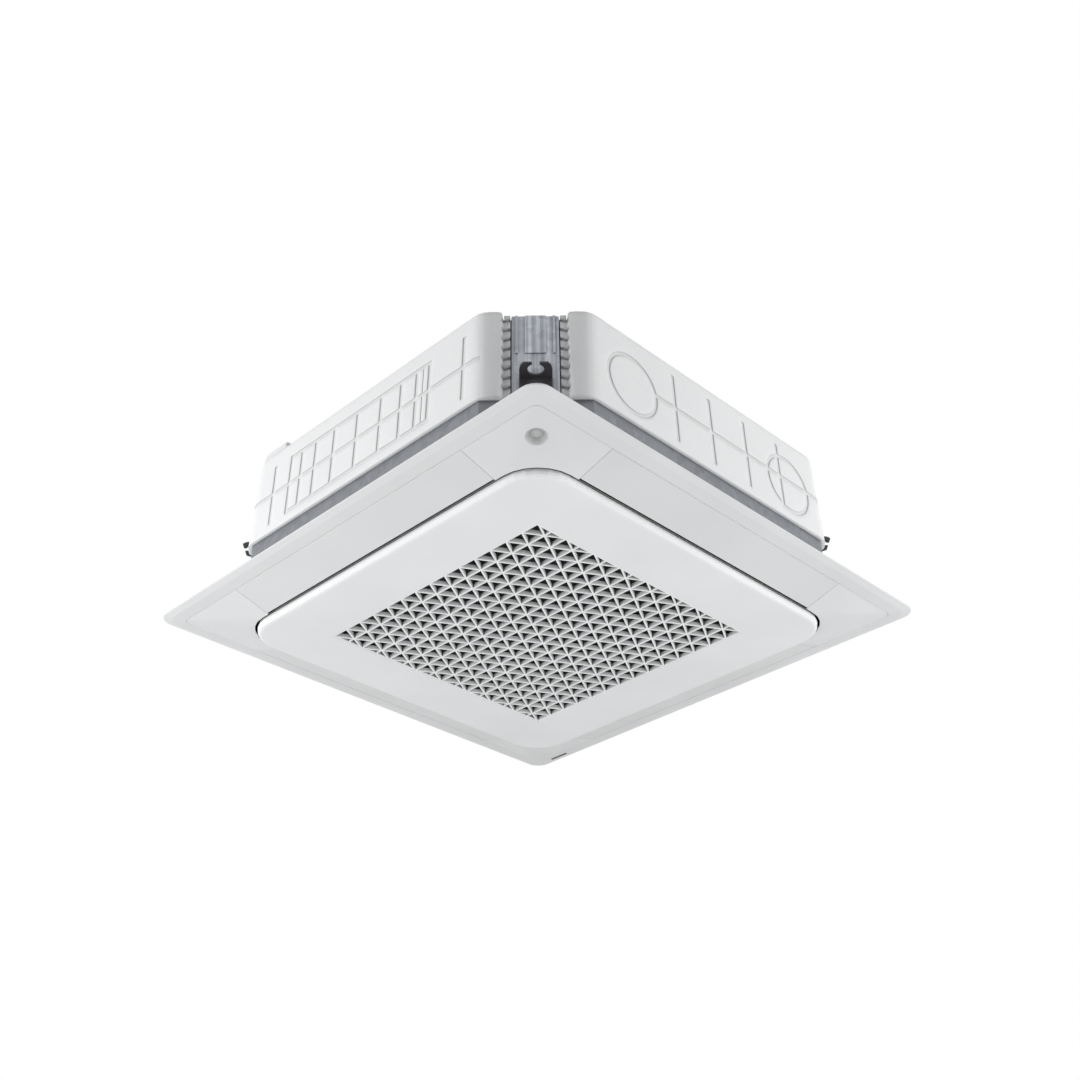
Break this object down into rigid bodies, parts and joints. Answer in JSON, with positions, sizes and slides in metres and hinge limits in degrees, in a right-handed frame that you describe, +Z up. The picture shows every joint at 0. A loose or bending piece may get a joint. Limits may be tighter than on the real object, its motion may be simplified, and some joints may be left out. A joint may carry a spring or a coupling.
{
  "type": "ceiling cassette air conditioner",
  "caption": "Square ceiling cassette indoor unit with a louver on each side, a lift-down intake panel with a triangular lattice grille, and a body with hanger brackets above the panel.",
  "frame": {"origin": "centre of the four hanger holes, on the hanger plates' lower face", "axes": "+Z up, +X towards the right side seen from the front, +Y towards the intake panel's hinge side"},
  "size_m": [0.95, 0.95, 0.329],
  "materials": {
    "frame_plastic": "fine satin",
    "lens_plastic": "glossy",
    "screw_steel": "zinc plated",
    "louver_plastic": "fine satin",
    "shell_foam": "fine grain, matt",
    "cover_plastic": "fine satin",
    "bush_plastic": "plain",
    "step_motor_steel": "zinc plated",
    "intake_plastic": "fine satin",
    "lattice_plastic": "fine satin",
    "filter_plastic": "plain",
    "mesh_fabric": "woven",
    "pin_steel": "bright",
    "latch_plastic": "plain",
    "plunger_plastic": "plain",
    "galvanised_sheet": "galvanised, dull",
    "post_sheet": "galvanised, dull",
    "bracket_steel": "dark coating",
    "pan_foam": "foam, matt",
    "seal_foam": "foam",
    "bell_plastic": "plain",
    "top_foam_sheet": "foam",
    "fin_aluminium": "bright",
    "copper_tube": "bright copper",
    "nut_brass": "machined",
    "pump_plastic": "plain",
    "hose_rubber": "smooth",
    "outlet_plastic": "plain",
    "switch_plastic": "plain",
    "float_foam": "plain",
    "fan_plastic": "plain",
    "motor_paint": "satin paint",
    "mount_rubber": "plain",
    "board_laminate": "lacquered",
    "terminal_plastic": "plain"
  },
  "bodies": {
    "housing": {"panel_frame": "frame_plastic", "receiver_lens": "lens_plastic", "panel_screws": "screw_steel", "side_shell_right": "shell_foam", "side_shell_back": "shell_foam", "side_shell_left": "shell_foam", "side_shell_front": "shell_foam", "corner_cover_right_rear": "cover_plastic", "corner_cover_left_rear": "cover_plastic", "corner_cover_left_front": "cover_plastic", "corner_cover_right_front": "cover_plastic", "louver_bushes": "bush_plastic", "louver_motors": "step_motor_steel", "latch_bodies": "latch_plastic", "base_band": "galvanised_sheet", "corner_posts": "post_sheet", "hanger_brackets": "bracket_steel", "hanger_screws": "screw_steel", "drain_pan": "pan_foam", "outlet_seals": "seal_foam", "intake_seal": "seal_foam", "bell_mouth": "bell_plastic", "bell_mouth_screws": "screw_steel", "top_plate": "galvanised_sheet", "top_foam": "top_foam_sheet", "coil_fins": "fin_aluminium", "coil_end_plates": "galvanised_sheet", "return_bends": "copper_tube", "gas_pipe": "copper_tube", "liquid_pipe": "copper_tube", "flare_nuts": "nut_brass", "pipe_plate": "galvanised_sheet", "drain_pump": "pump_plastic", "drain_hose": "hose_rubber", "drain_outlet": "outlet_plastic", "float_switch": "switch_plastic", "fan_motor": "motor_paint", "motor_mounts": "mount_rubber", "motor_studs": "screw_steel", "control_box": "galvanised_sheet", "control_cover": "galvanised_sheet", "circuit_board": "board_laminate", "terminal_block": "terminal_plastic"},
    "louver_right": {"louver_right": "louver_plastic"},
    "louver_back": {"louver_back": "louver_plastic"},
    "louver_left": {"louver_left": "louver_plastic"},
    "louver_front": {"louver_front": "louver_plastic"},
    "intake": {"intake_panel": "intake_plastic", "grille_lattice": "lattice_plastic", "filter_frame": "filter_plastic", "filter_mesh": "mesh_fabric", "hinge_pins": "pin_steel"},
    "fan": {"turbo_fan": "fan_plastic", "motor_shaft": "pin_steel", "fan_nut": "screw_steel"},
    "latch_left": {"latch_plunger_left": "plunger_plastic"},
    "latch_right": {"latch_plunger_right": "plunger_plastic"},
    "float": {"drain_float": "float_foam"}
  },
  "joints": [
    {"name": "louver_right_swing", "type": "hinge", "parent": "housing", "child": "louver_right", "pos_m": [0.383, 0, -0.1565], "axis": [0, 1, 0], "range_deg": [0, 60]},
    {"name": "louver_back_swing", "type": "hinge", "parent": "housing", "child": "louver_back", "pos_m": [0, 0.383, -0.1565], "axis": [-1, 0, 0], "range_deg": [0, 60]},
    {"name": "louver_left_swing", "type": "hinge", "parent": "housing", "child": "louver_left", "pos_m": [-0.383, 0, -0.1565], "axis": [0, -1, 0], "range_deg": [0, 60]},
    {"name": "louver_front_swing", "type": "hinge", "parent": "housing", "child": "louver_front", "pos_m": [0, -0.383, -0.1565], "axis": [1, 0, 0], "range_deg": [0, 60]},
    {"name": "intake_swing", "type": "hinge", "parent": "housing", "child": "intake", "pos_m": [0, 0.357, -0.17], "axis": [1, 0, 0], "range_deg": [0, 85]},
    {"name": "fan_spin", "type": "hinge", "parent": "housing", "child": "fan", "pos_m": [0, 0, 0.02], "axis": [0, 0, 1], "continuous": true},
    {"name": "latch_left_press", "type": "slide", "parent": "housing", "child": "latch_left", "axis": [0, 0, 1], "range_m": [0, 0.004], "stiffness_N_per_m": 500, "springref_m": -0.002},
    {"name": "latch_right_press", "type": "slide", "parent": "housing", "child": "latch_right", "axis": [0, 0, 1], "range_m": [0, 0.004], "stiffness_N_per_m": 500, "springref_m": -0.002},
    {"name": "float_rise", "type": "slide", "parent": "housing", "child": "float", "axis": [0, 0, 1], "range_m": [0, 0.009]}
  ]
}
